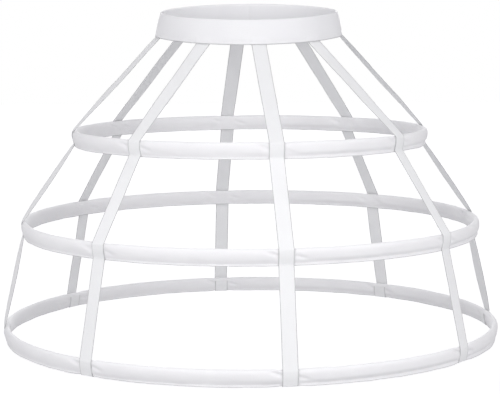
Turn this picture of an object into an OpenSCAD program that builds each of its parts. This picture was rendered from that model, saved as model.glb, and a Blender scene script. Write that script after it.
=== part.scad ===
// Short cage crinoline: an oval waistband carries ribbon straps that hang three boned hoops.
// Millimetres, +Z up. The origin is the middle of the waistband, and the front faces -Y.

/* [Waistband] */
// Outer width of the band at its middle height, side to side
waist_w = 254; // [220:1:320]
// Outer depth of the band at its middle height, front to back
waist_d = 190; // [160:1:230]
// Radius of the oval's two side arcs at the band's outer face
waist_side_r = 64; // [50:1:74]
// Width of the band from its top fold to its lower edge
band_h = 34; // [26:1:48]
// How far the band's wall leans out towards its lower edge, in degrees
band_flare = 14; // [0:1:20]
// How far the worn band tips down at the front, in degrees
band_tip = 6.5; // [0:0.5:9]
// Thickness of one layer of the band's cloth
band_cloth = 0.7; // [0.5:0.1:1.2]
// Thickness of the elastic inside the band
elastic_t = 1.4; // [0.8:0.1:2]

/* [Hoops] */
// Outer radius of the top hoop's casing
top_hoop_r = 249; // [220:0.5:290]
// Outer radius of the middle hoop's casing
middle_hoop_r = 321.5; // [295:0.5:340]
// Outer radius of the bottom hoop's casing
bottom_hoop_r = 348.5; // [341:0.5:400]
// Depth of the top hoop's middle below the waist
top_hoop_drop = 156.5; // [130:0.5:190]
// Depth of the middle hoop's middle below the waist
middle_hoop_drop = 281.5; // [250:0.5:320]
// Depth of the bottom hoop's middle below the waist
bottom_hoop_drop = 427; // [380:0.5:480]

/* [Bones] */
// Width of the flat bone in each hoop
bone_w = 12.5; // [8:0.1:16]
// Thickness of the flat bone
bone_t = 1.5; // [1:0.1:2.5]
// Gap between the bone's two ends, inside their sleeve
bone_end_gap = 2; // [1:0.5:6]
// Length of the sleeve that joins a bone's ends
sleeve_len = 36; // [24:1:60]
// Wall of that sleeve
sleeve_wall = 0.4; // [0.3:0.05:0.8]

/* [Casings] */
// Thickness of the casing's tape
casing_cloth = 0.9; // [0.7:0.05:1.2]
// Spare room across the casing's channel, past the sleeve
casing_slack = 0.6; // [0.4:0.05:0.8]
// How far the soft tape stands off the bone's two flat faces, past that room
casing_puff = 1.75; // [0.5:0.05:2]
// Height of the stitched lip below the channel
lip_h = 4.5; // [3:0.1:7]
// Space between the lip's two layers
lip_slit = 0.4; // [0.3:0.05:0.6]

/* [Straps] */
// Width of the ribbon
strap_w = 20; // [14:0.5:28]
// Thickness of the ribbon
strap_t = 0.8; // [0.5:0.1:1.2]
// Turn of the front strap from the front's middle, towards +X, in degrees
strap_turn = 8; // [0:1:20]
// Length of a strap's end between the band's two layers
strap_tuck = 9; // [6:0.5:12]
// Height of the strap's turned-up end inside the bottom hoop, from the lip's lower edge
strap_turn_up = 17; // [10:0.5:19]

/* [Fits] */
// Clearance between pieces that lie against each other
fit = 0.25; // [0.15:0.05:0.4]

/* [Hidden] */

// How far a cut runs past what it cuts
overrun = 1;
// Clearance between a bone and the sleeve that is crimped on it
crimp_fit = 0.1;
// The straps' even spacing round the waist, in degrees
strap_step = 45;
// Faces in a full hoop, and in the small rounds of its section
$fn = 96;
round_steps = 12;

// Casing section, worked out from the sleeve that it must let through
sleeve_grow = crimp_fit + sleeve_wall;
channel_t = bone_t + 2 * (sleeve_grow + fit + casing_slack + casing_puff);
channel_h = bone_w + 2 * (sleeve_grow + fit + casing_slack);
bulge_t = channel_t + 2 * casing_cloth;
bulge_h = channel_h + 2 * casing_cloth;
lip_t = 2 * casing_cloth + lip_slit;
// The bone hangs low in the channel, where its sleeve comes to rest
bone_sag = casing_slack;

// Hoops from the top down: outer radius and height of the casing's channel
hoop_rs = [top_hoop_r, middle_hoop_r, bottom_hoop_r];
hoop_zs = [for (drop = [top_hoop_drop, middle_hoop_drop, bottom_hoop_drop]) lip_h / 2 - drop];

// Places across a strap, as shares of its half width
across_shares = [-1, 0, 1];

// Waist oval of four arcs that meet in line
side_x = waist_w / 2 - waist_side_r;
half_d = waist_d / 2;
front_r = (side_x ^ 2 + half_d ^ 2 - waist_side_r ^ 2) / (2 * (half_d - waist_side_r));
front_y = front_r - half_d;
join_angle = atan2(front_y, side_x);

// Band section: the cloth's two layers, with room between them for the elastic and the strap ends
strap_end_bow = strap_w ^ 2 / (8 * waist_side_r) / len(across_shares);
band_room = max(elastic_t, strap_t + strap_end_bow) + 2 * fit;
band_t = 2 * band_cloth + band_room;
// Steps round the waist and round the band's top fold
waist_steps = 80;
fold_steps = 4;

// The line that a strap's thickness is centred on, measured out from a casing
strap_out = fit + strap_t / 2;
shoulder_r = bulge_t / 2 + strap_out;
lip_wrap_r = lip_t / 2 + strap_out;
shoulder_up = bulge_h / 2 - bulge_t / 2;
lip_down = bulge_h / 2 + lip_h;
// Slope at which the strap leaves the lower shoulder for the lip, in degrees
lip_slope = asin((shoulder_r - lip_wrap_r) / (lip_down - shoulder_up));
// Steps of a twisting run and of a strap's turns
run_steps = 6;
shoulder_steps = 3;
wrap_steps = 6;

// Flat directions at an azimuth, which is counted from the front towards +X
function outward(az) = [sin(az), -cos(az), 0];
function sideways(az) = [cos(az), sin(az), 0];
function unit(v) = v / norm(v);
function mix(a, b, k) = a + (b - a) * k;
function leaned(p) = [
    p.x * cos(band_flare) - p.y * sin(band_flare),
    p.x * sin(band_flare) + p.y * cos(band_flare)
];
function tipped(p) = [
    p.x,
    p.y * cos(band_tip) - p.z * sin(band_tip),
    p.y * sin(band_tip) + p.z * cos(band_tip)
];

// A point of a circle in a hoop's section, which is (distance from the axis, height)
function on_arc(centre, r, angle) = centre + r * [cos(angle), sin(angle)];
function arc(centre, r, from, to, steps) =
    [for (i = [0:steps]) on_arc(centre, r, mix(from, to, i / steps))];

// The oval at an azimuth, moved out by grow: distance from the axis, flat normal and radius of its arc
function oval_at(az, grow) =
    let (e = [abs(sin(az)), abs(cos(az))])
    let (join = [side_x, 0] + (waist_side_r + grow) * [cos(join_angle), sin(join_angle)])
    let (on_side = e.x * join.y > e.y * join.x)
    let (centre = on_side ? [side_x, 0] : [0, -front_y])
    let (r = grow + (on_side ? waist_side_r : front_r))
    let (ahead = centre * e)
    let (reach = ahead + sqrt(ahead ^ 2 - centre * centre + r ^ 2))
    let (n = (reach * e - centre) / r)
    [reach, [sign(sin(az)) * n.x, -sign(cos(az)) * n.y, 0], r];

// A strap is a list of stations: [middle, direction across, flat outward normal, bow across]
function hoop_station(az, p) =
    [p[0] * outward(az) + [0, 0, p[1]], sideways(az), outward(az), 1 / p[0]];

// A point of the band's slanted wall, given out and up along it, where the oval's normal has an azimuth
function on_waist(az, p) =
    let (on_side = abs(cos(az)) < sin(join_angle))
    let (centre = on_side ? [sign(sin(az)) * side_x, 0, 0] : [0, sign(cos(az)) * front_y, 0])
    let (r = (on_side ? waist_side_r : front_r) + leaned(p).x)
    tipped(centre + r * outward(az) + [0, 0, leaned(p).y]);

// A station between the band's layers, at a height along the band's own slanted wall
function tuck_station(az, up) =
    let (p = leaned([-band_t / 2, up]))
    let (at = oval_at(az, p.x))
    let (n = at[1])
    [
        tipped(at[0] * outward(az) + [0, 0, p.y]),
        tipped([-n.y, n.x, 0]),
        tipped(n),
        1 / at[2]
    ];

// Stations of the straight run between two stations, where the ribbon turns from one to the other
function run(a, b) = [
    for (i = [1:run_steps - 1])
        let (k = i / run_steps)
        [mix(a[0], b[0], k), unit(mix(a[1], b[1], k)), unit(mix(a[2], b[2], k)), mix(a[3], b[3], k)]
];

// Angle on a hoop's upper shoulder where a straight run from a point first touches it
function touch_angle(from, centre) =
    let (away = from - centre)
    atan2(away.y, away.x) - acos(shoulder_r / norm(away));

function shoulder_centre(i) = [hoop_rs[i] - bulge_t / 2, hoop_zs[i] + shoulder_up];
function lower_centre(i) = [hoop_rs[i] - bulge_t / 2, hoop_zs[i] - shoulder_up];
function lip_centre(i) = [hoop_rs[i] - bulge_t / 2, hoop_zs[i] - lip_down];

// Section of the strap over one hoop's shoulder, from a point above it, and down its face
function over_hoop(i, from) = concat(
    arc(shoulder_centre(i), shoulder_r, touch_angle(from, shoulder_centre(i)), 0, shoulder_steps),
    [on_arc(lower_centre(i), shoulder_r, 0)]
);

// Section of the strap's end, round the bottom hoop's lip and up its inside
function under_hoop(i) = concat(
    [on_arc(lower_centre(i), shoulder_r, -lip_slope)],
    arc(lip_centre(i), lip_wrap_r, -lip_slope, lip_slope - 180, wrap_steps),
    [on_arc(lower_centre(i), shoulder_r, lip_slope - 180)],
    [on_arc(lower_centre(i), shoulder_r, -180)],
    [lip_centre(i) + [-shoulder_r, strap_turn_up]]
);

function last(list) = list[len(list) - 1];
function section_of(station) = [norm([station[0].x, station[0].y]), station[0].z];

function strap_stations(az) =
    let (tuck = [tuck_station(az, strap_tuck - band_h / 2), tuck_station(az, -strap_t - band_h / 2)])
    let (top = over_hoop(0, section_of(tuck[1])))
    let (middle = over_hoop(1, last(top)))
    let (bottom = concat(over_hoop(2, last(middle)), under_hoop(2)))
    let (hoops = [for (p = concat(top, middle, bottom)) hoop_station(az, p)])
    concat(tuck, run(tuck[1], hoops[0]), hoops);

// One ring of a ribbon's corners at a station, with its thickness held where the path turns
function ribbon_ring(stations, i) =
    let (s = stations[i])
    let (before = i == 0 ? stations[1][0] - s[0] : s[0] - stations[i - 1][0])
    let (after = i == len(stations) - 1 ? before : stations[i + 1][0] - s[0])
    let (ahead = unit(unit(before) + unit(after)))
    let (miter = 1 / (ahead * unit(before)))
    let (across = s[1] / sqrt(1 - (s[1] * ahead) ^ 2))
    let (face = unit(cross(ahead, s[1])) * miter * strap_t / 2)
    [
        for (side = [1, -1])
            for (share = side * across_shares)
                let (aside = share * strap_w / 2)
                s[0] + aside * across - s[2] * s[3] * aside ^ 2 / 2 + side * face
    ];

// Faces between the rings of a loft, each of n corners, which may run round to its first ring
function loft_walls(rings, n, closed) = [
    for (i = [0:rings - (closed ? 1 : 2)])
        for (j = [0:n - 1])
            let (a = i * n + j)
            let (b = i * n + (j + 1) % n)
            let (c = (i + 1) % rings * n + j)
            let (d = (i + 1) % rings * n + (j + 1) % n)
            each [[a, c, b], [b, c, d]]
];

// A flat ribbon lofted through its stations
module ribbon(stations) {
    rings = [for (i = [0:len(stations) - 1]) ribbon_ring(stations, i)];
    n = len(rings[0]);
    ends = (len(rings) - 1) * n;
    caps = [
        for (j = [0:n / 2 - 2])
            let (k = n - 1 - j)
            each [
                [j, j + 1, k], [j + 1, k - 1, k],
                [ends + j, ends + k, ends + j + 1], [ends + j + 1, ends + k, ends + k - 1]
            ]
    ];
    polyhedron([for (ring = rings) each ring], concat(loft_walls(len(rings), n, false), caps));
}

module strap(i) {
    color("white") ribbon(strap_stations(strap_turn + i * strap_step));
}

// A rounded bar's section, centred
module stadium(w, h) {
    square([w, h - w], center = true);
    for (end = [-1, 1])
        translate([0, end * (h - w) / 2])
            circle(d = w, $fn = round_steps);
}

// The folded tape's section: a channel with an open slit down the middle of its lip
module casing_section() {
    difference() {
        union() {
            stadium(bulge_t, bulge_h);
            translate([-lip_t / 2, -lip_down])
                square([lip_t, lip_down]);
        }
        stadium(channel_t, channel_h);
        translate([-lip_slit / 2, -lip_down - overrun])
            square([lip_slit, lip_down + overrun]);
    }
}

// Places a section on the line that hoop i's channel is centred on
module at_hoop(i) {
    translate([hoop_rs[i] - bulge_t / 2, 0])
        children();
}

module casing(i) {
    color("white")
        translate([0, 0, hoop_zs[i]])
            rotate_extrude()
                at_hoop(i)
                    casing_section();
}

// The angle that an arc length takes on hoop i's centre line
function hoop_angle(i, len) = len / (hoop_rs[i] - bulge_t / 2) * 180 / PI;

module bone(i) {
    gap = hoop_angle(i, bone_end_gap);
    color("gainsboro")
        translate([0, 0, hoop_zs[i] - bone_sag])
            rotate([0, 0, 90 + gap / 2])
                rotate_extrude(angle = 360 - gap)
                    at_hoop(i)
                        stadium(bone_t, bone_w);
}

module sleeve(i) {
    span = hoop_angle(i, sleeve_len);
    color("silver")
        translate([0, 0, hoop_zs[i] - bone_sag])
            rotate([0, 0, 90 - span / 2])
                rotate_extrude(angle = span)
                    at_hoop(i)
                        difference() {
                            stadium(bone_t + 2 * sleeve_grow, bone_w + 2 * sleeve_grow);
                            stadium(bone_t + 2 * crimp_fit, bone_w + 2 * crimp_fit);
                        }
}

// Corners of the band's folded cloth, as (out, up) in its own wall: up the outside and down the inside,
// then back along the inner faces of the two layers
function band_section() =
    let (fold = [-band_t / 2, band_h / 2 - band_t / 2])
    concat(
        [[0, -band_h / 2]],
        arc(fold, band_t / 2, 0, 180, fold_steps),
        [[-band_t, -band_h / 2]],
        [[-band_t + band_cloth, -band_h / 2]],
        arc(fold, band_room / 2, 180, 0, fold_steps),
        [[-band_cloth, -band_h / 2]]
    );

function elastic_section() =
    let (low = strap_tuck + fit - band_h / 2)
    let (high = band_h / 2 - band_t / 2)
    let (outer = -band_t / 2 + elastic_t / 2)
    let (inner = -band_t / 2 - elastic_t / 2)
    [[outer, low], [outer, high], [inner, high], [inner, low]];

// A section of the band's slanted wall, lofted once round the waist
module round_waist(section) {
    rings = [
        for (i = [0:waist_steps - 1])
            [for (p = section) on_waist(i * 360 / waist_steps, p)]
    ];
    n = len(section);
    polyhedron([for (ring = rings) each ring], loft_walls(waist_steps, n, true));
}

module waistband() {
    color("white") round_waist(band_section());
}

module waist_elastic() {
    color("ivory") round_waist(elastic_section());
}

module front_strap() { strap(0); }
module front_right_strap() { strap(1); }
module right_strap() { strap(2); }
module back_right_strap() { strap(3); }
module back_strap() { strap(4); }
module back_left_strap() { strap(5); }
module left_strap() { strap(6); }
module front_left_strap() { strap(7); }

module top_casing() { casing(0); }
module middle_casing() { casing(1); }
module bottom_casing() { casing(2); }

module top_bone() { bone(0); }
module middle_bone() { bone(1); }
module bottom_bone() { bone(2); }

module top_sleeve() { sleeve(0); }
module middle_sleeve() { sleeve(1); }
module bottom_sleeve() { sleeve(2); }

waistband();
waist_elastic();
front_strap();
front_right_strap();
right_strap();
back_right_strap();
back_strap();
back_left_strap();
left_strap();
front_left_strap();
top_casing();
middle_casing();
bottom_casing();
top_bone();
middle_bone();
bottom_bone();
top_sleeve();
middle_sleeve();
bottom_sleeve();
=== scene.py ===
"""Looks of a short cage crinoline: ribbon straps hang three taped hoops from a folded waistband."""

import math
from typing import NamedTuple

import bmesh
import bpy
from mathutils import Matrix, Vector, noise


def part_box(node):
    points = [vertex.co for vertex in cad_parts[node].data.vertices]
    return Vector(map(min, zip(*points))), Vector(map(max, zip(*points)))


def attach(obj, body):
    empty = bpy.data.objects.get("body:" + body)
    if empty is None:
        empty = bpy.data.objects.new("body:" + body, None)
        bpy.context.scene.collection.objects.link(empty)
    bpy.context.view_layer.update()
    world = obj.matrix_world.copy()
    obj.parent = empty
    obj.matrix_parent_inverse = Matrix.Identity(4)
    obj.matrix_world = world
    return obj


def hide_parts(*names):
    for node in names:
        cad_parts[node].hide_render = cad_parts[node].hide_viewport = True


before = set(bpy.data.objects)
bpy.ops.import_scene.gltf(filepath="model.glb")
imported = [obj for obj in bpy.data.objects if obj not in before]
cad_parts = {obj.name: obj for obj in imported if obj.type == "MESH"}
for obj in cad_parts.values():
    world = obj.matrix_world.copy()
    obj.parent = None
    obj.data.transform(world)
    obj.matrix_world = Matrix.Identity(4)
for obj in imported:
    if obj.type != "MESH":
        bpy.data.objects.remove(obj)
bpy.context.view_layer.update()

MM = 0.001
TURN = 2 * math.pi


class Unevenness(NamedTuple):
    """A smooth unevenness: how far it goes either way, the length of its waves and its own seed."""
    depth: float
    wave: float
    seed: float


# Waist oval of four arcs, tipped down at the front
WAIST_W = 254 * MM
WAIST_D = 190 * MM
WAIST_SIDE_R = 64 * MM
BAND_FLARE = math.radians(14)
BAND_TIP = math.radians(6.5)
HALVINGS = 40

# Waistband cloth, folded over the elastic
BAND_H = 34 * MM
BAND_T = 3.3 * MM
BAND_CLOTH = 0.7 * MM
BAND_CROWN = 0.35 * MM
HEM_T = 2.0 * MM
HEM_TOP = 8.5 * MM
HEM_STITCH_UP = 3.2 * MM
HEM_STITCH_SINK = 0.2 * MM
BAND_STEPS = 440
BAND_ROWS = 17
FOLD_STEPS = 8

# How the band lies over the strap ends, gathers at its hem and drapes
HEM_SWELL = 0.75 * MM
SWELL_ABOVE_STITCHES = 1 * MM
SWELL_ABOVE_END = 2 * MM
SWELL_INSIDE_EDGE = 1 * MM
SWELL_OUTSIDE_EDGE = 2.5 * MM
BAND_GATHERS = [Unevenness(0.24 * MM, 11 * MM, 3), Unevenness(0.12 * MM, 4.5 * MM, 6)]
GATHERED_SHARE = 0.8
BAND_DRAPE = Unevenness(0.35 * MM, 45 * MM, 8)
BAND_DRAPE_SQUEEZE = 1.5
HEM_DENT = 0.25 * MM
HEM_DENT_REACH = 0.8 * MM
BAND_SEAM_DEPTH = 0.5 * MM
BAND_SEAM_REACH = 0.9 * MM
FOLD_WAVER = Unevenness(0.35 * MM, 33 * MM, 17)
FOLD_REACH = 3 * MM
HEM_WAVER = Unevenness(0.3 * MM, 15 * MM, 19)
HEM_WAVER_REACH = 4 * MM

# Waist elastic, above the strap ends
ELASTIC_T = 1.3 * MM
ELASTIC_LOW = -7.5 * MM
ELASTIC_HIGH = 15.2 * MM
ELASTIC_RIBS = 11
ELASTIC_RIB_DEPTH = 0.14 * MM
ELASTIC_RIB_ROWS = 4
ELASTIC_STEPS = 220

# Casing tape, folded over a bone and stitched below it
BULGE_T = 9.5 * MM
BULGE_H = 17.0 * MM
BULGE_SQUARENESS = 2.25
WIDEST_UP = 1.5 * MM
LIP_H = 5.0 * MM
LIP_T = 2.2 * MM
TAPE_T = 0.7 * MM
LAYER_CLEAR = 0.03 * MM
SEAM_UP = 2.5 * MM
SEAM_DEPTH = 0.32 * MM
SEAM_REACH = 0.8 * MM
SOFT_ABOVE_SEAM = 4 * MM
BONE_CLEAR_HALF_T = 1.62 * MM
BONE_CLEAR_HALF_H = 7.0 * MM
BONE_SAG = 0.6 * MM
TOP_STEPS = 9
SIDE_STEPS = 10
LIP_STEPS = 4
CASING_STEP = 2.7 * MM

# How a lip stands free between the straps, and is drawn up in their turned ends
LIP_FREE_FROM = 7.5 * MM
LIP_HELD_REACH = 14 * MM
LIP_FLARE = 1.1 * MM
LIP_SWAY = Unevenness(1.2 * MM, 42 * MM, 5)
LIP_LIFT = Unevenness(0.45 * MM, 17 * MM, 9)
LIP_TUCK = 1.9 * MM

# How a casing is drawn in above its seam: from which sine of the azimuth, and shares of the thickness
DRAWN_FROM = -0.3
DRAWN_FULL = 0.7
UNDERCUT_SHARE = 0.75
UNDERCUT_UP = 1.3 * MM
UNDERCUT_REACH = 1.8 * MM
UNDERCUT_CLEAR = 7 * MM
FULLER_SHARE = 0.14
FULLER_UP = 6 * MM
FULLER_REACH = 2.8 * MM

# How a strap cinches the casing under it, as shares of the casing's thickness
PINCH_SHARE = 0.34
PINCH_REACH = 13 * MM
UNDER_STRAP_SHARE = 0.28
CREASE_SHARE = 0.05
CREASE_AT = 11.3 * MM
CREASE_REACH = 2.4 * MM
PUFF_SHARE = 0.12
PUFF_AT = 19 * MM
PUFF_REACH = 6 * MM

# Slanting creases that run off both sides of a strap
PUCKER_DEPTH = 2.3 * MM
PUCKER_AT = 7 * MM
PUCKER_REACH = 8 * MM
PUCKER_WIDTH = 2.2 * MM
PUCKER_SPREAD = 4.5 * MM
PUCKER_SLOPE = 0.3
PUCKER_CHANCE = Unevenness(1, 0.37, 0)
PUCKER_SEEDS_PER_METRE = 100

# Gathers along the tape's seam, slack of its channel, lap of its ends and waver of its top
TAPE_GATHERS = [Unevenness(0.30 * MM, 13 * MM, 2), Unevenness(0.22 * MM, 5.5 * MM, 4)]
GATHER_UP = 1.5 * MM
GATHER_REACH = 5 * MM
GATHER_BOOST = 1.5
GATHER_BOOST_REACH = 8 * MM
TAPE_SLACK = Unevenness(0.42 * MM, 26 * MM, 7)
TAPE_SLACK_SQUEEZE = 2.5
SLACK_FADE = 2 * MM
LAP_HALF = 7 * MM
LAP_EDGE = 0.5 * MM
LAP_RISE = 0.45 * MM
LAP_FADE = 1 * MM
TOP_WAVER = Unevenness(0.3 * MM, 38 * MM, 13)
TOP_FROM = 2 * MM
CREASE_SINK = 0.45 * MM
CREASE_SINK_REACH = 4 * MM
PINCH_SINK = 0.35 * MM

# Straps
STRAP_W = 20 * MM
STRAP_T = 0.7 * MM
STRAP_TURN = math.radians(8)
STRAP_STEP = math.radians(45)
STRAP_TUCK = 9 * MM
STRAP_TURN_UP = 17 * MM
STRAP_REST = 0.12 * MM
STRAPS = ["front", "front_right", "right", "back_right", "back", "back_left", "left", "front_left"]
SELVEDGE_SHARE = 0.93
SELVEDGE_RISE = 0.13 * MM
STRAP_COLUMNS = 12
RUN_ROW = 3.2 * MM
FEWEST_RUN_ROWS = 2
SHOULDER_STEPS = 9
FACE_STEPS = 3
DIP_STEPS = 9
WRAP_STEPS = 12
LIP_SIDE_STEPS = 2

# Twist of the straps' three free runs in degrees, from the top one down, and their slack
RUN_TWISTS = {"right": (8, 12, 16), "left": (7, 12, 14), "back_right": (5, -4, 3), "back": (-3, 4, -3)}
NO_TWISTS = (0, 0, 0)
TWISTING = 0.45
LOOSENING = 0.7
RIBBON_WAVE = Unevenness(0.8 * MM, 55 * MM, 0)
RIBBON_WARP = Unevenness(0.7 * MM, 80 * MM, 11)
RIBBON_CURL = Unevenness(0.35 * MM, 65 * MM, 23)
RIBBON_EDGE = Unevenness(0.16 * MM, 9 * MM, 31)
CURL_LEVEL = 0.4
EDGE_POWER = 3
EDGE_SEED_STEP = 7
STRAP_SEED_STEP = 40

# Stitches
STITCH_PITCH = 3.2 * MM
STITCH_LENGTH = 2.5 * MM
STITCH_WIDTH = 0.6 * MM
STITCH_RISE = 0.5 * MM
STITCH_SLANT = math.radians(7)
STITCH_SIDES = 6
STITCH_RINGS = 4
STITCH_GROUP = 24
UPPER_ROW_DROP = 0.8 * MM
JOIN_REACH = 0.001 * MM


def mix(a, b, k):
    return a + (b - a) * k


def bell(x, middle, reach):
    """1 at the middle, and nearly 0 from two reaches away."""
    return math.exp(-((x - middle) / reach) ** 2)


def ease(x, start, end):
    """0 up to start, 1 from end on, and smooth between them."""
    k = min(max((x - start) / (end - start), 0), 1)
    return k * k * (3 - 2 * k)


def uneven(kind, point, shift=0):
    """An unevenness at a point, the same in each run. A shift of the seed gives it another course."""
    seed = kind.seed + shift
    return kind.depth * noise.noise(point / kind.wave + Vector((seed, 2 * seed, 3 * seed)))


def outward(az):
    """Flat direction at an azimuth, which is counted from the front towards +X."""
    return Vector((math.sin(az), -math.cos(az), 0))


def sideways(az):
    return Vector((math.cos(az), math.sin(az), 0))


def azimuth(point):
    return math.atan2(point.x, -point.y) % TURN


def from_strap(az):
    """Signed angle from the nearest strap's middle."""
    return (az - STRAP_TURN + STRAP_STEP / 2) % STRAP_STEP - STRAP_STEP / 2


class Hoop:
    """Middle line of one casing's channel, read from the solid that the tape replaces."""

    def __init__(self, name):
        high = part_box(name + "_casing")[1]
        self.name = name
        self.r = high.x - BULGE_T / 2
        self.z = high.z - BULGE_H / 2

    def strap_arc(self, az):
        """Signed length along the hoop from the nearest strap's middle."""
        return self.r * from_strap(az)

    def ring(self, az):
        """The middle line's point at an azimuth, at height 0."""
        return self.r * outward(az)


hoops = [Hoop(name) for name in ("top", "middle", "bottom")]
LIP_LOW = -BULGE_H / 2 - LIP_H
SEAM_V = LIP_LOW + SEAM_UP


# Mesh tools shared by the pieces

def start_grid(columns, rows):
    """A flat grid, with the column and row of each of its points."""
    bm = bmesh.new()
    bmesh.ops.create_grid(bm, x_segments=columns, y_segments=rows, size=1)
    spots = {}
    for vert in bm.verts:
        spots[vert] = (round((vert.co.x + 1) / 2 * columns), round((vert.co.y + 1) / 2 * rows))
    return bm, spots


def running_lengths(points):
    lengths = [0.0]
    for before, after in zip(points, points[1:]):
        lengths.append(lengths[-1] + math.dist(before, after))
    return lengths


def map_flat(bm, spots, widths, lengths):
    """Gives a grid its flat cloth map in metres, from the unrolled place of each column and row."""
    cloth_map = bm.loops.layers.uv.new("cloth")
    for face in bm.faces:
        for loop in face.loops:
            column, row = spots[loop.vert]
            loop[cloth_map].uv = (widths[column], lengths[row])


def ring_sheet(section, radius, height, steps):
    """A section of (out, up) points carried once round the axis, with its flat map."""
    bm, spots = start_grid(steps, len(section) - 1)
    widths = [TURN * radius * step / steps for step in range(steps + 1)]
    map_flat(bm, spots, widths, running_lengths(section))
    for vert, (step, row) in spots.items():
        out, up = section[row]
        vert.co = (radius + out) * outward(TURN * step / steps) + Vector((0, 0, height + up))
    ends = [vert for vert, (step, row) in spots.items() if step in (0, steps)]
    bmesh.ops.remove_doubles(bm, verts=ends, dist=JOIN_REACH)
    return bm


def make_piece(bm, name, material):
    """Turns a bmesh into a smooth piece that rides with the part."""
    for face in bm.faces:
        face.smooth = True
    mesh = bpy.data.meshes.new(name)
    bm.to_mesh(mesh)
    bm.free()
    mesh.materials.append(material)
    piece = bpy.data.objects.new(name, mesh)
    bpy.context.scene.collection.objects.link(piece)
    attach(piece, "root")
    return piece


def thicken(piece, thickness, offset):
    wall = piece.modifiers.new("cloth", "SOLIDIFY")
    wall.thickness = thickness
    wall.offset = offset
    wall.use_even_offset = True


def add_stitch(bm, place, along, out):
    """One short stitch, a ball of size 1 stretched along a direction on a surface that faces out."""
    up = out.cross(along)
    turned = Matrix((along, up, out)).transposed().to_4x4()
    slant = Matrix.Rotation(STITCH_SLANT, 4, "Z")
    size = Matrix.Diagonal((STITCH_LENGTH, STITCH_WIDTH, STITCH_RISE, 1))
    bmesh.ops.create_uvsphere(
        bm, u_segments=STITCH_SIDES, v_segments=STITCH_RINGS, radius=0.5,
        matrix=Matrix.Translation(place) @ turned @ slant @ size @ Matrix.Rotation(TURN / 4, 4, "Y"),
    )


def spin_copies(bm, count, angle):
    """Repeats what is in the bmesh round the axis, each copy an angle on from the last."""
    everything = bm.verts[:] + bm.edges[:] + bm.faces[:]
    steps = count - 1
    bmesh.ops.spin(
        bm, geom=everything, axis=(0, 0, 1), angle=angle * steps, steps=steps, use_duplicate=True,
    )


def spin_stitches(bm, count):
    """Repeats a stitch evenly round the axis: a group of them first, then the whole group."""
    spin_copies(bm, STITCH_GROUP, TURN / count)
    spin_copies(bm, count // STITCH_GROUP, TURN * STITCH_GROUP / count)


def stitch_count(length):
    """Stitches in a length, in whole groups."""
    return STITCH_GROUP * round(length / (STITCH_GROUP * STITCH_PITCH))


# Materials

class Cloth(NamedTuple):
    """How a woven cloth looks: its two tones, its gloss, and its threads' pitches and relief."""
    name: str
    tones: list
    roughness: float
    sheen: float
    warp: float
    weft: float
    relief: float


class Blotches(NamedTuple):
    """Soft spots all over a piece: how many to a metre, and how finely they are broken up."""
    scale: float
    detail: float


TAPE_LOOK = Cloth(
    "casing_tape", [(0.90, 0.898, 0.905, 1), (0.84, 0.832, 0.852, 1)],
    roughness=0.78, sheen=0.15, warp=0.55 * MM, weft=0.55 * MM, relief=0.035 * MM,
)
RIBBON_LOOK = Cloth(
    "ribbon", [(0.86, 0.865, 0.87, 1), (0.82, 0.82, 0.83, 1)],
    roughness=0.6, sheen=0.2, warp=0.3 * MM, weft=0.8 * MM, relief=0.02 * MM,
)
BAND_LOOK = Cloth(
    "band_cloth", [(0.86, 0.86, 0.87, 1), (0.81, 0.805, 0.825, 1)],
    roughness=0.6, sheen=0.2, warp=0.35 * MM, weft=0.35 * MM, relief=0.02 * MM,
)
ELASTIC_LOOK = Cloth(
    "elastic", [(0.87, 0.86, 0.82, 1), (0.83, 0.82, 0.78, 1)],
    roughness=0.8, sheen=0.1, warp=0.9 * MM, weft=0.7 * MM, relief=0.06 * MM,
)

# What all the woven cloths share
CLOTH_BLOTCHES = Blotches(scale=26.0, detail=3.0)
GLOSS_BLOTCHES = Blotches(scale=60.0, detail=2.0)
GLOSS_SPREAD = 0.08
SLUBS_PER_THREAD = 0.35
SLUB_DETAIL = 2.0
SLUB_HEIGHT = 1.5
WEAVE_BUMP = 0.6
# Darkest share left in the weave's valleys: painted shade between the threads.
WEAVE_GAP_SHADE = 0.93
# Width and darkest share of the painted shade towards each cloth's two edges, rims included.
EDGE_SHADE_WIDTH = 1.6 * MM
PAINTED_EDGE_SHADE = 0.68
SHEEN_ROUGHNESS = 0.4
CLOTH_SPECULAR = 0.3

# Sewing thread
THREAD_TONES = [(0.70, 0.70, 0.72, 1), (0.88, 0.88, 0.89, 1)]
THREAD_TWIST = {"Scale": 700.0, "Distortion": 1.0, "Detail": 1.0}
THREAD_BUMP = 0.4
THREAD_RELIEF = 0.1 * MM
THREAD_ROUGHNESS = 0.55
THREAD_SHEEN = 0.2

# The bones' coating
COATING_TONES = [(0.86, 0.86, 0.85, 1), (0.82, 0.82, 0.81, 1)]
COATING_BLOTCHES = Blotches(scale=40.0, detail=2.0)
COATING_MARKS = Blotches(scale=300.0, detail=4.0)
COATING_ROUGHNESS = (0.28, 0.46)
COATING_BUMP = 0.2
COATING_RELIEF = 0.05 * MM
COATING_GLAZE = 0.3

# The sleeves' metal
METAL_TONES = [(0.52, 0.53, 0.54, 1), (0.68, 0.68, 0.69, 1)]
METAL_BRUSHING = (40.0, 40.0, 2500.0)
METAL_DETAIL = 3.0
METAL_ROUGHNESS = (0.25, 0.45)
METAL_BUMP = 0.3
METAL_RELIEF = 0.04 * MM


def set_sockets(tree, node, sockets):
    """Sets a node's sockets by name: another node's output is linked, and anything else is put in."""
    for key, value in sockets.items():
        if isinstance(value, bpy.types.NodeSocket):
            tree.links.new(value, node.inputs[key])
        else:
            node.inputs[key].default_value = value


def add_node(tree, kind, sockets, **settings):
    """Adds a node with its settings, and sets its sockets."""
    node = tree.nodes.new("ShaderNode" + kind)
    for key, value in settings.items():
        setattr(node, key, value)
    set_sockets(tree, node, sockets)
    return node


def start_material(name):
    material = bpy.data.materials.new(name)
    material.use_nodes = True
    tree = material.node_tree
    return material, tree, tree.nodes["Principled BSDF"]


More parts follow.
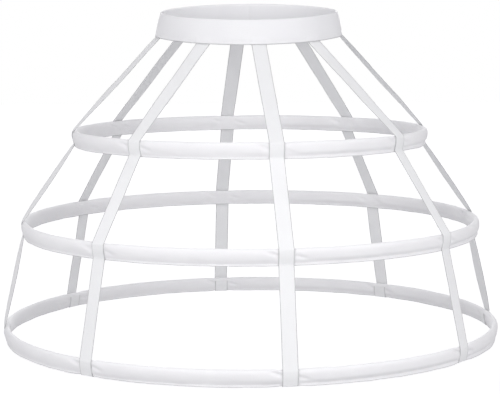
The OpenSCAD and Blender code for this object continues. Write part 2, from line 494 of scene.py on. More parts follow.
def maths(tree, operation, first, second=0.0):
    return add_node(tree, "Math", {0: first, 1: second}, operation=operation).outputs["Value"]


def object_place(tree):
    return add_node(tree, "TexCoord", {}).outputs["Object"]


def blotchy(tree, blotches):
    """A value from 0 to 1 that varies with the blotches."""
    sockets = {"Vector": object_place(tree), "Scale": blotches.scale, "Detail": blotches.detail}
    return add_node(tree, "TexNoise", sockets).outputs["Fac"]


def between_tones(tree, share, tones):
    sockets = {"Fac": share, "Color1": tones[0], "Color2": tones[1]}
    return add_node(tree, "MixRGB", sockets).outputs["Color"]


def between(tree, share, low, high):
    return add_node(tree, "MapRange", {"Value": share, "To Min": low, "To Max": high}).outputs["Result"]


def bumpy(tree, height, strength, distance):
    sockets = {"Height": height, "Strength": strength, "Distance": distance}
    return add_node(tree, "Bump", sockets).outputs["Normal"]


def thread_wave(tree, length, pitch):
    """A sine with one swell for each thread."""
    return maths(tree, "SINE", maths(tree, "MULTIPLY", length, TURN / pitch))


def painted_edge_shade(tree, along, low, high):
    """Paints shade on a cloth towards its two edges, darkest at the edge itself."""
    from_low = maths(tree, "SUBTRACT", along, low)
    from_high = maths(tree, "SUBTRACT", high, along)
    inside = maths(tree, "MINIMUM", from_low, from_high)
    sockets = {"Value": inside, "From Max": EDGE_SHADE_WIDTH, "To Min": PAINTED_EDGE_SHADE, "To Max": 1.0}
    return add_node(tree, "MapRange", sockets, interpolation_type="SMOOTHSTEP").outputs["Result"]


def woven(cloth, axis, low, high):
    """A faintly blotched plain weave on the piece's own flat map, with painted shade in its valleys and
    towards its edges, which lie at two places on one axis.
    """
    material, tree, shader = start_material(cloth.name)
    flat = add_node(tree, "UVMap", {}, uv_map="cloth").outputs["UV"]
    place = add_node(tree, "SeparateXYZ", {"Vector": flat}).outputs
    warp = thread_wave(tree, place["X"], cloth.warp)
    weft = thread_wave(tree, place["Y"], cloth.weft)
    weave = maths(tree, "MULTIPLY", warp, weft)
    slub_sockets = {"Vector": flat, "Scale": SLUBS_PER_THREAD / cloth.warp, "Detail": SLUB_DETAIL}
    slubs = add_node(tree, "TexNoise", slub_sockets).outputs["Fac"]
    height = maths(tree, "ADD", weave, maths(tree, "MULTIPLY", slubs, SLUB_HEIGHT))
    # Painted shade in the weave's valleys between the threads.
    gap_sockets = {"Value": weave, "From Min": -1.0, "To Min": WEAVE_GAP_SHADE, "To Max": 1.0}
    painted_gap_shade = add_node(tree, "MapRange", gap_sockets).outputs["Result"]
    # Painted shade towards the cloth's two edges, multiplied in with the valleys' painted shade.
    shade = maths(tree, "MULTIPLY", painted_gap_shade, painted_edge_shade(tree, place[axis], low, high))
    tint = between_tones(tree, blotchy(tree, CLOTH_BLOTCHES), cloth.tones)
    shown = add_node(tree, "MixRGB", {"Fac": 1.0, "Color1": tint, "Color2": shade}, blend_type="MULTIPLY")
    gloss = blotchy(tree, GLOSS_BLOTCHES)
    set_sockets(tree, shader, {
        "Base Color": shown.outputs["Color"],
        "Roughness": between(tree, gloss, cloth.roughness - GLOSS_SPREAD, cloth.roughness + GLOSS_SPREAD),
        "Normal": bumpy(tree, height, WEAVE_BUMP, cloth.relief),
        "Sheen Weight": cloth.sheen,
        "Sheen Roughness": SHEEN_ROUGHNESS,
        "Specular IOR Level": CLOTH_SPECULAR,
    })
    return material


def twisted_thread():
    material, tree, shader = start_material("sewing_thread")
    sockets = {"Vector": object_place(tree), **THREAD_TWIST}
    twist = add_node(tree, "TexWave", sockets, bands_direction="DIAGONAL").outputs["Fac"]
    set_sockets(tree, shader, {
        "Base Color": between_tones(tree, twist, THREAD_TONES),
        "Roughness": THREAD_ROUGHNESS,
        "Normal": bumpy(tree, twist, THREAD_BUMP, THREAD_RELIEF),
        "Sheen Weight": THREAD_SHEEN,
    })
    return material


def coated_steel():
    """The bones' white coating, with faint roller marks."""
    material, tree, shader = start_material("bone_coating")
    marks = blotchy(tree, COATING_MARKS)
    set_sockets(tree, shader, {
        "Base Color": between_tones(tree, blotchy(tree, COATING_BLOTCHES), COATING_TONES),
        "Roughness": between(tree, marks, *COATING_ROUGHNESS),
        "Normal": bumpy(tree, marks, COATING_BUMP, COATING_RELIEF),
        "Coat Weight": COATING_GLAZE,
    })
    return material


def brushed_steel():
    """The sleeves' bare metal, brushed along their length."""
    material, tree, shader = start_material("sleeve_metal")
    drawn = add_node(tree, "Mapping", {"Vector": object_place(tree), "Scale": METAL_BRUSHING})
    line_sockets = {"Vector": drawn.outputs["Vector"], "Scale": 1.0, "Detail": METAL_DETAIL}
    lines = add_node(tree, "TexNoise", line_sockets).outputs["Fac"]
    set_sockets(tree, shader, {
        "Base Color": between_tones(tree, lines, METAL_TONES),
        "Roughness": between(tree, lines, *METAL_ROUGHNESS),
        "Normal": bumpy(tree, lines, METAL_BUMP, METAL_RELIEF),
        "Metallic": 1.0,
    })
    return material


sewing_thread = twisted_thread()
bone_coating = coated_steel()
sleeve_metal = brushed_steel()


# Hoop casings

def rounded_top(angle):
    """A point of the channel's squarish top, as (out, up) from its middle."""
    power = 2 / BULGE_SQUARENESS
    return (
        BULGE_T / 2 * math.cos(angle) ** power,
        WIDEST_UP + (BULGE_H / 2 - WIDEST_UP) * math.sin(angle) ** power,
    )


def closing_side(up):
    """Half of the casing's thickness below its widest place, where it closes in to the lip."""
    share = max((up - SEAM_V) / (WIDEST_UP - SEAM_V), 0)
    return mix(LIP_T / 2, BULGE_T / 2, math.sin(TURN / 4 * share))


def casing_section():
    """The tape's outer face: up the lip's outside, over the channel and down the lip's inside."""
    lip = [mix(LIP_LOW, SEAM_V, i / LIP_STEPS) for i in range(LIP_STEPS)]
    side = [mix(SEAM_V, WIDEST_UP, i / SIDE_STEPS) for i in range(SIDE_STEPS)]
    half = [(closing_side(up) - SEAM_DEPTH * bell(up, SEAM_V, SEAM_REACH), up) for up in lip + side]
    half += [rounded_top(TURN / 4 * i / TOP_STEPS) for i in range(TOP_STEPS)]
    return half + [(0, BULGE_H / 2)] + [(-out, up) for out, up in reversed(half)]


TAPE_WIDTH = running_lengths(casing_section())[-1]
tape_cloth = woven(TAPE_LOOK, "Y", 0.0, TAPE_WIDTH)


def above_seam(up):
    """0 at the seam, and 1 where the channel is free to be pressed flat."""
    return ease(up, SEAM_V, SEAM_V + SOFT_ABOVE_SEAM)


def cinched(arc):
    """Share of a casing's thickness that is left at an arc length from a strap's middle."""
    pinch = PINCH_SHARE * bell(arc, 0, PINCH_REACH)
    crease = CREASE_SHARE * bell(abs(arc), CREASE_AT, CREASE_REACH)
    puff = PUFF_SHARE * bell(abs(arc), PUFF_AT, PUFF_REACH)
    return 1 - pinch - crease + puff


def tape_gathers(hoop, az, up, side):
    """Small gathers above the seam, deeper beside a strap."""
    depth = sum(uneven(kind, hoop.ring(az), side) for kind in TAPE_GATHERS)
    near_seam = bell(up, SEAM_V + GATHER_UP, GATHER_REACH) * above_seam(up)
    near_strap = 1 + GATHER_BOOST * bell(abs(hoop.strap_arc(az)), CREASE_AT, GATHER_BOOST_REACH)
    return depth * near_seam * near_strap


def tape_slack(hoop, az, up, side):
    """The soft lie of the channel's faces, which fades at its top."""
    place = hoop.ring(az) + Vector((0, 0, TAPE_SLACK_SQUEEZE * up))
    return uneven(TAPE_SLACK, place, side) * above_seam(up) * ease(BULGE_H / 2 - up, 0, SLACK_FADE)


def drawn_in(az):
    """How much a casing is drawn in above its seam: 0 at the left and 1 at the right."""
    return ease(math.sin(az), DRAWN_FROM, DRAWN_FULL)


def undercut(hoop, az, up):
    """Share of a casing's thickness that is drawn in above the seam, clear of the straps.
    It is negative higher up, where the channel is fuller for it."""
    clear = ease(abs(hoop.strap_arc(az)), STRAP_W / 2, STRAP_W / 2 + UNDERCUT_CLEAR)
    cut = UNDERCUT_SHARE * bell(up, SEAM_V + UNDERCUT_UP, UNDERCUT_REACH)
    fuller = FULLER_SHARE * bell(up, SEAM_V + FULLER_UP, FULLER_REACH)
    return drawn_in(az) * clear * (cut - fuller)


def pucker(hoop, az, up, side):
    """Depth of the slanting crease that runs off each side of a strap along a casing's face."""
    arc = hoop.strap_arc(az)
    strap = round((az - from_strap(az)) / STRAP_STEP)
    along = math.copysign(1, arc)
    chance = uneven(PUCKER_CHANCE, Vector((strap, along, side)), PUCKER_SEEDS_PER_METRE * hoop.z)
    away = abs(arc) - STRAP_W / 2
    middle = PUCKER_SPREAD * chance - PUCKER_SLOPE * away * along * side
    deep = PUCKER_DEPTH * (1 + chance) * ease(away, -STRAP_T, STRAP_T)
    return deep * bell(away, PUCKER_AT, PUCKER_REACH) * bell(up, middle, PUCKER_WIDTH)


def back_lap(hoop, az, up):
    """How far the outside rises where the tape's ends lap at the back."""
    back = hoop.r * (az - math.pi)
    begun = ease(back, -LAP_HALF - LAP_EDGE, -LAP_HALF + LAP_EDGE)
    ended = ease(back, LAP_HALF - LAP_EDGE, LAP_HALF + LAP_EDGE)
    return LAP_RISE * (begun - ended) * ease(BULGE_H / 2 - up, 0, LAP_FADE)


def casing_half(hoop, az, up, side, plain):
    """Half of a casing's thickness on one side, from its plain half: never less than the layers and the
    bone between them need."""
    half = plain * mix(1, cinched(hoop.strap_arc(az)), above_seam(up))
    half += tape_gathers(hoop, az, up, side) + tape_slack(hoop, az, up, side)
    half *= 1 - undercut(hoop, az, up)
    half -= pucker(hoop, az, up, side)
    half = max(half, min(plain, TAPE_T + LAYER_CLEAR))
    if abs(up + BONE_SAG) < BONE_CLEAR_HALF_H:
        half = max(half, BONE_CLEAR_HALF_T)
    if side > 0:
        half += back_lap(hoop, az, up)
    return half


def lip_shift(hoop, az, up):
    """How far the lip stands out and up: it flares most at the right, sways between the straps and is
    drawn up in their turned ends."""
    held = bell(hoop.strap_arc(az), 0, LIP_HELD_REACH)
    low = ease(-up, LIP_FREE_FROM, -LIP_LOW)
    free = (1 - held) * low
    sway = (LIP_FLARE * drawn_in(az) + uneven(LIP_SWAY, hoop.ring(az), hoop.z)) * free
    lift = uneven(LIP_LIFT, hoop.ring(az), hoop.z) * free
    if hoop.name == "bottom":
        lift += LIP_TUCK * held * low
    return sway, lift


def top_shift(hoop, az, up):
    """How far the channel's top moves up: it wavers, and sinks under and beside the straps."""
    arc = hoop.strap_arc(az)
    crease = CREASE_SINK * bell(abs(arc), CREASE_AT, CREASE_SINK_REACH)
    pinch = PINCH_SINK * bell(arc, 0, PINCH_REACH)
    return ease(up, TOP_FROM, BULGE_H / 2) * (uneven(TOP_WAVER, hoop.ring(az), hoop.z) - crease - pinch)


def shape_casing(bm, hoop):
    """Gives the spun tape the lie of soft cloth: cinched by the straps, gathered, slack and waving."""
    for vert in bm.verts:
        az = azimuth(vert.co)
        out = math.hypot(vert.co.x, vert.co.y) - hoop.r
        up = vert.co.z - hoop.z
        side = math.copysign(1, out)
        sway, lift = lip_shift(hoop, az, up)
        radius = hoop.r + side * casing_half(hoop, az, up, side, abs(out)) + sway
        vert.co = radius * outward(az) + Vector((0, 0, hoop.z + up + lift + top_shift(hoop, az, up)))


def make_casing(hoop):
    bm = ring_sheet(casing_section(), hoop.r, hoop.z, round(TURN * hoop.r / CASING_STEP))
    shape_casing(bm, hoop)
    tape = make_piece(bm, hoop.name + "_hoop_tape", tape_cloth)
    thicken(tape, TAPE_T, -1)
    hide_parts(hoop.name + "_casing")
    stitching = make_hoop_stitching(hoop)


def make_hoop_stitching(hoop):
    """The seam that closes a channel, outside and inside, left out where a strap covers it."""
    bm = bmesh.new()
    for side in (1, -1):
        place = Vector((0, -hoop.r - side * (LIP_T / 2 - SEAM_DEPTH), hoop.z + SEAM_V))
        add_stitch(bm, place, Vector((1, 0, 0)), Vector((0, -side, 0)))
    count = stitch_count(TURN * hoop.r)
    spin_stitches(bm, count)
    covered = []
    for vert in bm.verts:
        az = azimuth(vert.co)
        middle = round(az * count / TURN) * TURN / count
        outer = math.hypot(vert.co.x, vert.co.y) > hoop.r
        if abs(hoop.strap_arc(middle)) < STRAP_W / 2 + STITCH_LENGTH / 2:
            if outer or hoop.name == "bottom":
                covered.append(vert)
        sway, lift = lip_shift(hoop, az, SEAM_V)
        vert.co += sway * outward(az) + Vector((0, 0, lift))
    bmesh.ops.delete(bm, geom=covered, context="VERTS")
    return make_piece(bm, hoop.name + "_hoop_stitching", sewing_thread)


# Waist oval

SIDE_X = WAIST_W / 2 - WAIST_SIDE_R
HALF_D = WAIST_D / 2
FRONT_R = (SIDE_X ** 2 + HALF_D ** 2 - WAIST_SIDE_R ** 2) / (2 * (HALF_D - WAIST_SIDE_R))
FRONT_Y = FRONT_R - HALF_D
FRONT_SPAN = math.atan2(SIDE_X, FRONT_Y)
QUARTER = FRONT_R * FRONT_SPAN + WAIST_SIDE_R * (TURN / 4 - FRONT_SPAN)
WAIST_ROUND = 4 * QUARTER
WAIST_R = WAIST_ROUND / TURN
BAND_MIDDLE_R = WAIST_R - BAND_T / 2
TIPPING = Matrix.Rotation(BAND_TIP, 3, "X")


def quarter_length(normal):
    return FRONT_R * min(normal, FRONT_SPAN) + WAIST_SIDE_R * max(normal - FRONT_SPAN, 0)


def waist_length(normal):
    """Length round the oval, from the front's middle to where its normal has an azimuth."""
    halves, rest = divmod(normal % TURN, TURN / 2)
    part = quarter_length(rest) if rest < TURN / 4 else 2 * QUARTER - quarter_length(TURN / 2 - rest)
    return halves * 2 * QUARTER + part


def waist_normal(length):
    """Azimuth of the oval's normal at a length round it: the other way about."""
    halves, rest = divmod(length % WAIST_ROUND, 2 * QUARTER)
    near = min(rest, 2 * QUARTER - rest)
    front = FRONT_R * FRONT_SPAN
    turn = near / FRONT_R if near < front else FRONT_SPAN + (near - front) / WAIST_SIDE_R
    return halves * TURN / 2 + (turn if rest < QUARTER else TURN / 2 - turn)


def on_side_arc(normal):
    """Whether the oval's normal points out of a side arc, not the front or back one."""
    return abs(math.cos(normal)) < math.cos(FRONT_SPAN)


def leaned(out, up):
    return (
        out * math.cos(BAND_FLARE) - up * math.sin(BAND_FLARE),
        out * math.sin(BAND_FLARE) + up * math.cos(BAND_FLARE),
    )


def on_waist(normal, out, up):
    """A point of the band's slanted wall, out and up along it."""
    out, up = leaned(out, up)
    if on_side_arc(normal):
        centre = Vector((math.copysign(SIDE_X, math.sin(normal)), 0, up))
        radius = WAIST_SIDE_R
    else:
        centre = Vector((0, math.copysign(FRONT_Y, math.cos(normal)), up))
        radius = FRONT_R
    return TIPPING @ (centre + (radius + out) * outward(normal))


def on_waist_flat(normal):
    """The oval's own point, before the band is tipped."""
    return TIPPING.inverted() @ on_waist(normal, 0, 0)


def bend_to_waist(bm):
    """Bends what was spun on a circle of the waist's length to the tipped oval."""
    for vert in bm.verts:
        length = azimuth(vert.co) * WAIST_R
        out = math.hypot(vert.co.x, vert.co.y) - WAIST_R
        vert.co = on_waist(waist_normal(length), out, vert.co.z)


def strap_normal(az):
    """Azimuth of the oval's normal where a line from the axis at an azimuth meets it, by halving."""
    quarter_turns = math.floor(az / (TURN / 4))
    low = quarter_turns * TURN / 4
    high = low + TURN / 4
    for _ in range(HALVINGS):
        middle = (low + high) / 2
        if (azimuth(on_waist_flat(middle)) - az + TURN / 2) % TURN - TURN / 2 < 0:
            low = middle
        else:
            high = middle
    return (low + high) / 2


strap_azimuths = [STRAP_TURN + i * STRAP_STEP for i in range(len(STRAPS))]
strap_normals = [strap_normal(az) for az in strap_azimuths]
strap_places = [waist_length(normal) for normal in strap_normals]


def from_strap_end(length):
    """Length round the waist to the nearest strap's middle."""
    half = WAIST_ROUND / 2
    return min(abs((length - place + half) % WAIST_ROUND - half) for place in strap_places)


def over_strap_end(length):
    """1 where the band covers a strap's end, and 0 between the straps."""
    gap = from_strap_end(length)
    return 1 - ease(gap, STRAP_W / 2 - SWELL_INSIDE_EDGE, STRAP_W / 2 + SWELL_OUTSIDE_EDGE)


# Waistband and its elastic

def band_half(up):
    """Half of the band's thickness at a height: a flat hem below, and a crown over the elastic."""
    lift = up + BAND_H / 2
    full = mix(HEM_T / 2, BAND_T / 2, ease(lift, HEM_STITCH_UP, HEM_TOP))
    return full + BAND_CROWN * math.sin(math.pi * min(max((lift - HEM_TOP) / (BAND_H - HEM_TOP), 0), 1))


def band_section():
    """The band cloth's outer face: up the outside, over the top fold and down the inside."""
    middle = -BAND_T / 2
    fold_up = BAND_H / 2 - BAND_T / 2
    rows = [mix(-BAND_H / 2, fold_up, i / BAND_ROWS) for i in range(BAND_ROWS)]
    outside = [(middle + band_half(up), up) for up in rows]
    inside = [(middle - band_half(up), up) for up in reversed(rows)]
    fold_half = band_half(fold_up)
    fold = []
    for i in range(FOLD_STEPS + 1):
        angle = TURN / 2 * i / FOLD_STEPS
        fold.append((middle + fold_half * math.cos(angle), fold_up + BAND_T / 2 * math.sin(angle)))
    return outside + fold + inside


BAND_WIDTH = running_lengths(band_section())[-1]
ELASTIC_WIDTH = ELASTIC_HIGH - ELASTIC_LOW
band_cloth = woven(BAND_LOOK, "Y", 0.0, BAND_WIDTH)
elastic_cloth = woven(ELASTIC_LOOK, "Y", 0.0, 2 * ELASTIC_WIDTH)


def band_rise(az, lift, side):
    """How far the band's wall stands off its plain section: it swells over the strap ends, gathers at the
    hem and drapes, and it dips at the back seam and the hem's stitches."""
    length = az * WAIST_R
    ring = BAND_MIDDLE_R * outward(az)
    by_end = 1 - ease(lift, HEM_STITCH_UP + SWELL_ABOVE_STITCHES, STRAP_TUCK + SWELL_ABOVE_END)
    swell = HEM_SWELL * over_strap_end(length) * by_end
    by_hem = 1 - ease(lift, HEM_STITCH_UP, BAND_H * GATHERED_SHARE)
    gather = sum(uneven(kind, ring, side) for kind in BAND_GATHERS) * by_hem
    drape = uneven(BAND_DRAPE, ring + Vector((0, 0, BAND_DRAPE_SQUEEZE * lift)), side)
    seam = BAND_SEAM_DEPTH * bell(length, WAIST_ROUND / 2, BAND_SEAM_REACH)
    dent = HEM_DENT * bell(lift, HEM_STITCH_UP, HEM_DENT_REACH)
    return swell + gather + drape - seam - dent


def shape_band(bm):
    """Gives the spun band the lie of soft cloth, and lets its fold and its hem waver."""
    for vert in bm.verts:
        az = azimuth(vert.co)
        lift = vert.co.z + BAND_H / 2
        side = math.copysign(1, math.hypot(vert.co.x, vert.co.y) - BAND_MIDDLE_R)
        ring = BAND_MIDDLE_R * outward(az)
        on_wall = ease(BAND_H - lift, 0, FOLD_REACH)
        at_hem = 1 - ease(lift, 0, HEM_WAVER_REACH)
        vert.co += outward(az) * (side * band_rise(az, lift, side) * on_wall)
        vert.co.z += uneven(FOLD_WAVER, ring) * (1 - on_wall) + uneven(HEM_WAVER, ring) * at_hem


def make_waistband():
    bm = ring_sheet(band_section(), WAIST_R, 0, BAND_STEPS)
    shape_band(bm)
    bend_to_waist(bm)
    band = make_piece(bm, "waistband_cloth", band_cloth)
    thicken(band, BAND_CLOTH, -1)
    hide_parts("waistband")
    stitching = make_band_stitching()


def make_band_stitching():
    """The hem's row of stitches, outside and inside."""
    bm = bmesh.new()
    up = HEM_STITCH_UP - BAND_H / 2
    for side in (1, -1):
        place = Vector((0, -BAND_MIDDLE_R - side * (HEM_T / 2 - HEM_STITCH_SINK), up))
        add_stitch(bm, place, Vector((1, 0, 0)), Vector((0, -side, 0)))
    spin_stitches(bm, stitch_count(WAIST_ROUND))
    for vert in bm.verts:
        az = azimuth(vert.co)
        side = math.copysign(1, math.hypot(vert.co.x, vert.co.y) - BAND_MIDDLE_R)
        vert.co += side * HEM_SWELL * over_strap_end(az * WAIST_R) * outward(az)
    bend_to_waist(bm)
    return make_piece(bm, "waistband_stitching", sewing_thread)


def make_elastic():
    """The flat ribbed elastic inside the band's fold."""
    rows = ELASTIC_RIBS * ELASTIC_RIB_ROWS
    face = []
    for i in range(rows + 1):
        up = mix(ELASTIC_LOW, ELASTIC_HIGH, i / rows)
        rib = ELASTIC_RIB_DEPTH * math.cos(TURN * ELASTIC_RIBS * i / rows)
        face.append((ELASTIC_T / 2 - ELASTIC_RIB_DEPTH + rib, up))
    middle = -BAND_T / 2
    loop = [(middle + out, up) for out, up in face] + [(middle - out, up) for out, up in reversed(face)]
    bm = ring_sheet(loop + loop[:1], WAIST_R, 0, ELASTIC_STEPS)
    bmesh.ops.remove_doubles(bm, verts=bm.verts, dist=JOIN_REACH)
    bend_to_waist(bm)
    elastic = make_piece(bm, "elastic_band", elastic_cloth)
    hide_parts("waist_elastic")


# Straps

UNDER_STRAP_T = BULGE_T * (1 - UNDER_STRAP_SHARE)
STRAP_OUT = STRAP_REST + STRAP_T / 2
SHOULDER_R = UNDER_STRAP_T / 2 + STRAP_OUT
SHOULDER_UP = BULGE_H / 2 - UNDER_STRAP_T / 2
LIP_WRAP_R = LIP_T / 2 + STRAP_OUT
ribbon_cloth = woven(RIBBON_LOOK, "X", -STRAP_W / 2, STRAP_W / 2)


def round_points(centre, radius, start, end, steps):
    """Points of a round, both ends included."""
    angles = [mix(start, end, i / steps) for i in range(steps + 1)]
    return [centre + radius * Vector((math.cos(a), math.sin(a))) for a in angles]


def line_points(start, end, steps):
    """Points between two points, with the end and without the start."""
    return [mix(start, end, i / steps) for i in range(1, steps + 1)]


def touch_angle(start, centre):
    """Where a straight line from a point first touches the strap's round over a hoop."""
    away = start - centre
    return math.atan2(away.y, away.x) - math.acos(SHOULDER_R / away.length)


def seam_dip(middle, side):
    """From a casing's face in to its seam, on the outer (1) or inner (-1) side."""
    points = []
    for i in range(1, DIP_STEPS + 1):
        up = mix(WIDEST_UP, SEAM_V, i / DIP_STEPS)
        out = closing_side(up) * (1 - UNDER_STRAP_SHARE * above_seam(up)) + STRAP_OUT
        points.append(middle + Vector((side * out, up)))
    return points


def over_hoop(hoop, start):
    """A strap's line over one hoop, as (distance from the axis, height), down to the casing's seam."""
    middle = Vector((hoop.r, hoop.z))
    shoulder = middle + Vector((0, SHOULDER_UP))
    top = round_points(shoulder, SHOULDER_R, touch_angle(start, shoulder), 0, SHOULDER_STEPS)
    face = line_points(top[-1], middle + Vector((SHOULDER_R, WIDEST_UP)), FACE_STEPS)
    return top + face + seam_dip(middle, 1)


def under_hoop(hoop):
    """The strap's end, round the bottom hoop's lip and up its inside."""
    middle = Vector((hoop.r, hoop.z))
    lip = middle + Vector((0, LIP_LOW + LIP_TUCK))
    wrap = round_points(lip, LIP_WRAP_R, 0, -TURN / 2, WRAP_STEPS)
    inside = line_points(wrap[-1], middle + Vector((-LIP_WRAP_R, SEAM_V)), LIP_SIDE_STEPS)
    rise = list(reversed(seam_dip(middle, -1)))[1:] + [middle + Vector((-SHOULDER_R, WIDEST_UP))]
    end = line_points(rise[-1], middle + Vector((-SHOULDER_R, LIP_LOW + STRAP_TURN_UP)), FACE_STEPS)
    return wrap + inside + rise + end


class Station(NamedTuple):
    """A place on a strap: its middle, direction across, flat outward direction and bow across, how loose
    and twisted it is there, and its height on the band's wall if the band holds it."""
    middle: Vector
    across: Vector
    out: Vector
    bow: float
    loose: float = 0.0
    twist: float = 0.0
    band_up: float = None


def hoop_station(az, point):
    middle = point.x * outward(az) + Vector((0, 0, point.y))
    return Station(middle, sideways(az), outward(az), 1 / point.x)


def tuck_station(normal, up):
    """A station between the band's layers, at a height along its slanted wall."""
    radius = WAIST_SIDE_R if on_side_arc(normal) else FRONT_R
    out = TIPPING @ outward(normal)
    middle = on_waist(normal, -BAND_T / 2, up)
    return Station(middle, TIPPING @ sideways(normal), out, 1 / radius, band_up=up)


def run_between(first, last, twist):
    """Stations of a straight run, where the ribbon turns from one end's lie to the other's."""
    steps = max(round((last.middle - first.middle).length / RUN_ROW), FEWEST_RUN_ROWS)
    stations = []
    for i in range(1, steps):
        k = i / steps
        stations.append(Station(
            mix(first.middle, last.middle, k),
            mix(first.across, last.across, k).normalized(),
            mix(first.out, last.out, k).normalized(),
            mix(first.bow, last.bow, k),
            math.sin(math.pi * k) ** LOOSENING,
            twist * math.sin(math.pi * k) ** TWISTING,
        ))
    return stations


def section_of(station):
    return Vector((math.hypot(station.middle.x, station.middle.y), station.middle.z))


def strap_stations(az, normal, twists):
    """All the stations of one strap, from its end in the band to its end inside the bottom hoop."""
    stations = [tuck_station(normal, up - BAND_H / 2) for up in (STRAP_TUCK, STRAP_TUCK / 2, 0, -STRAP_T)]
    for hoop, twist in zip(hoops, twists):
        points = over_hoop(hoop, section_of(stations[-1]))
        if hoop.name == "bottom":
            points += under_hoop(hoop)
        over = [hoop_station(az, point) for point in points]
        stations += run_between(stations[-1], over[0], math.radians(twist)) + over
    return stations


def ribbon_rise(length, share, seed):
    """How far a loose ribbon lies off its plane, at a length and a share of its half width."""
    spot = Vector((length, 0, 0))
    wave = uneven(RIBBON_WAVE, spot, seed)
    warp = uneven(RIBBON_WARP, spot, seed) * share
    curl = uneven(RIBBON_CURL, spot, seed) * (share * share - CURL_LEVEL)
    edge = uneven(RIBBON_EDGE, spot, seed + EDGE_SEED_STEP * share) * abs(share) ** EDGE_POWER
    return wave + warp + curl + edge


def lay_ribbon(spots, stations, lengths, place, seed):
    """Moves a grid's points along a strap's stations, with its twist, its slack and its edges."""
    last = len(stations) - 1
    for vert, (column, row) in spots.items():
        share = 1 - 2 * column / STRAP_COLUMNS
        aside = share * STRAP_W / 2
        station = stations[row]
        if station.band_up is not None:
            vert.co = on_waist(waist_normal(place + aside), -BAND_T / 2, station.band_up)
            continue
        ahead = (stations[min(row + 1, last)].middle - stations[max(row - 1, 0)].middle).normalized()
        across = (station.across - station.across.dot(ahead) * ahead).normalized()
        facing = ahead.cross(across)
        rise = ribbon_rise(lengths[row], share, seed) * station.loose
        if abs(share) > SELVEDGE_SHARE:
            rise += SELVEDGE_RISE
        turned = Matrix.Rotation(-station.twist, 3, ahead) @ across
        bowed = station.out * station.bow * aside ** 2 / 2
        vert.co = station.middle + aside * turned - bowed + rise * facing


def make_strap(name, az, normal, place, seed):
    stations = strap_stations(az, normal, RUN_TWISTS.get(name, NO_TWISTS))
    lengths = running_lengths([station.middle for station in stations])
    bm, spots = start_grid(STRAP_COLUMNS, len(stations) - 1)
    columns = range(STRAP_COLUMNS + 1)
    widths = [mix(STRAP_W / 2, -STRAP_W / 2, column / STRAP_COLUMNS) for column in columns]
    map_flat(bm, spots, widths, lengths)
    lay_ribbon(spots, stations, lengths, place, seed)
    ribbon = make_piece(bm, name + "_ribbon", ribbon_cloth)
    thicken(ribbon, STRAP_T, 0)
    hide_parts(name + "_strap")


def sew_row(bm, az, point, side):
    """A row of stitches across a strap at a section point, on its outer (1) or inner (-1) side."""
    count = math.floor(STRAP_W * SELVEDGE_SHARE / STITCH_PITCH)
    for i in range(count):
        aside = (i - (count - 1) / 2) * STITCH_PITCH
        middle = point.x * outward(az) + Vector((0, 0, point.y))
        place = middle + aside * sideways(az) - outward(az) * aside ** 2 / (2 * point.x)
        add_stitch(bm, place, sideways(az), side * outward(az))


def make_strap_stitching():
    """The rows that hold each strap at the hoops' seams and upper edges, and its turned-up end."""
    bm = bmesh.new()
    seam_out = LIP_WRAP_R + STRAP_T / 2
    face_out = SHOULDER_R + STRAP_T / 2
    for hoop in hoops:
        middle = Vector((hoop.r, hoop.z))
        sew_row(bm, STRAP_TURN, middle + Vector((seam_out, SEAM_V)), 1)
        sew_row(bm, STRAP_TURN, middle + Vector((face_out, SHOULDER_UP - UPPER_ROW_DROP)), 1)
        if hoop.name == "bottom":
            sew_row(bm, STRAP_TURN, middle + Vector((-seam_out, SEAM_V)), -1)
    spin_copies(bm, len(STRAPS), STRAP_STEP)
    make_piece(bm, "strap_stitching", sewing_thread)


# Stage

class Lamp(NamedTuple):
    """A round lamp: its place, the point it is aimed at, its width and its strength."""
    name: str
    place: tuple
    aim: tuple
    width: float
    watts: float


LAMPS = [
    Lamp("right_lamp", (0.95, -1.2, 0.2), aim=(0, -0.1, -0.28), width=0.8, watts=9.7),
    Lamp("left_lamp", (-0.95, -1.2, 0.2), aim=(0, -0.1, -0.28), width=0.8, watts=9.7),
    Lamp("top_lamp", (0, -0.35, 1.9), aim=(0, 0, -0.2), width=1.2, watts=4.0),
    Lamp("back_lamp", (0, 1.7, 0.1), aim=(0, 0.2, -0.3), width=1.2, watts=14.0),
]
WHITE = (1, 1, 1, 1)
FILL_TINT = (0.97, 0.965, 1.0, 1)
FILL_STRENGTH = 0.48
FLOOR_Z = -1.0
FLOOR_SIZE = 14.0
FLOOR_TONES = [(0.64, 0.64, 0.65, 1), (0.62, 0.62, 0.63, 1)]
FLOOR_BLOTCHES = Blotches(scale=3.0, detail=2.0)
FLOOR_ROUGHNESS = 0.9
FLOOR_GLOW = {"From Min": 1.2, "From Max": 3.5, "To Min": 0.55, "To Max": 0.74}
CAMERA_PLACE = (0, -2.356, 0.0359)
CAMERA_PITCH = math.radians(7.16)
CAMERA_ROLL = math.radians(-0.36)
CAMERA_LENS = 120.9
SENSOR_WIDTH = 36


def seen_rays(tree):
    """1 for what the camera sees directly, in a mirror or through glass."""
    path = add_node(tree, "LightPath", {}).outputs
    mirrored = maths(tree, "MAXIMUM", path["Is Glossy Ray"], path["Is Transmission Ray"])
    return maths(tree, "MAXIMUM", path["Is Camera Ray"], mirrored)


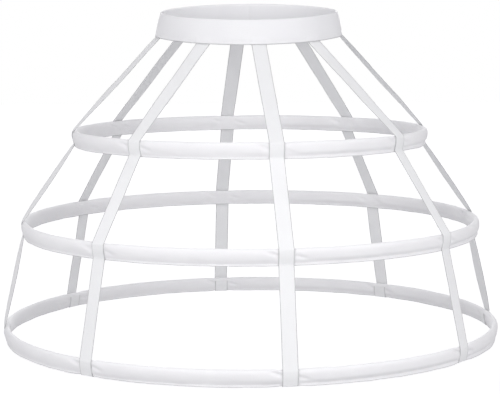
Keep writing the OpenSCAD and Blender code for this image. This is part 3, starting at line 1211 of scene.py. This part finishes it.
def make_floor():
    """A pale floor, a waist's height below the band. It glows most where the lamps don't reach."""
    bm = bmesh.new()
    down = Matrix.Translation((0, 0, FLOOR_Z))
    bmesh.ops.create_grid(bm, x_segments=1, y_segments=1, size=FLOOR_SIZE, matrix=down)
    mesh = bpy.data.meshes.new("floor")
    bm.to_mesh(mesh)
    bm.free()
    floor = bpy.data.objects.new("floor", mesh)
    bpy.context.scene.collection.objects.link(floor)
    material, tree, shader = start_material("floor")
    away = add_node(tree, "VectorMath", {0: object_place(tree)}, operation="LENGTH").outputs["Value"]
    glow = add_node(tree, "MapRange", {"Value": away, **FLOOR_GLOW}).outputs["Result"]
    set_sockets(tree, shader, {
        "Base Color": between_tones(tree, blotchy(tree, FLOOR_BLOTCHES), FLOOR_TONES),
        "Roughness": FLOOR_ROUGHNESS,
        "Emission Color": WHITE,
        "Emission Strength": maths(tree, "MULTIPLY", glow, seen_rays(tree)),
    })
    mesh.materials.append(material)


def make_world():
    """White to the eye, and a softer even light on the object."""
    world = bpy.data.worlds.new("studio")
    bpy.context.scene.world = world
    world.use_nodes = True
    tree = world.node_tree
    set_sockets(tree, tree.nodes["Background"], {
        "Color": between_tones(tree, seen_rays(tree), [FILL_TINT, WHITE]),
        "Strength": between(tree, seen_rays(tree), FILL_STRENGTH, 1.0),
    })


def make_lamp(lamp):
    light = bpy.data.lights.new(lamp.name, "AREA")
    light.shape = "DISK"
    light.size = lamp.width
    light.energy = lamp.watts
    holder = bpy.data.objects.new(lamp.name, light)
    holder.location = lamp.place
    holder.rotation_euler = (Vector(lamp.aim) - Vector(lamp.place)).to_track_quat("-Z", "Y").to_euler()
    bpy.context.scene.collection.objects.link(holder)


def make_camera():
    camera = bpy.data.cameras.new("camera")
    camera.sensor_fit = "HORIZONTAL"
    camera.sensor_width = SENSOR_WIDTH
    camera.lens = CAMERA_LENS
    holder = bpy.data.objects.new("camera", camera)
    level = Matrix.Rotation(TURN / 4 - CAMERA_PITCH, 4, "X")
    roll = Matrix.Rotation(CAMERA_ROLL, 4, "Z")
    holder.matrix_world = Matrix.Translation(CAMERA_PLACE) @ level @ roll
    bpy.context.scene.collection.objects.link(holder)
    bpy.context.scene.camera = holder


make_camera()
make_world()
make_floor()
for lamp in LAMPS:
    make_lamp(lamp)

make_elastic()
make_waistband()
for hoop in hoops:
    make_casing(hoop)
    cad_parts[hoop.name + "_bone"].material_slots[0].material = bone_coating
    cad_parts[hoop.name + "_sleeve"].material_slots[0].material = sleeve_metal
for i, name in enumerate(STRAPS):
    make_strap(name, strap_azimuths[i], strap_normals[i], strap_places[i], STRAP_SEED_STEP * i)
make_strap_stitching()

bpy.context.scene.view_settings.view_transform = "Standard"
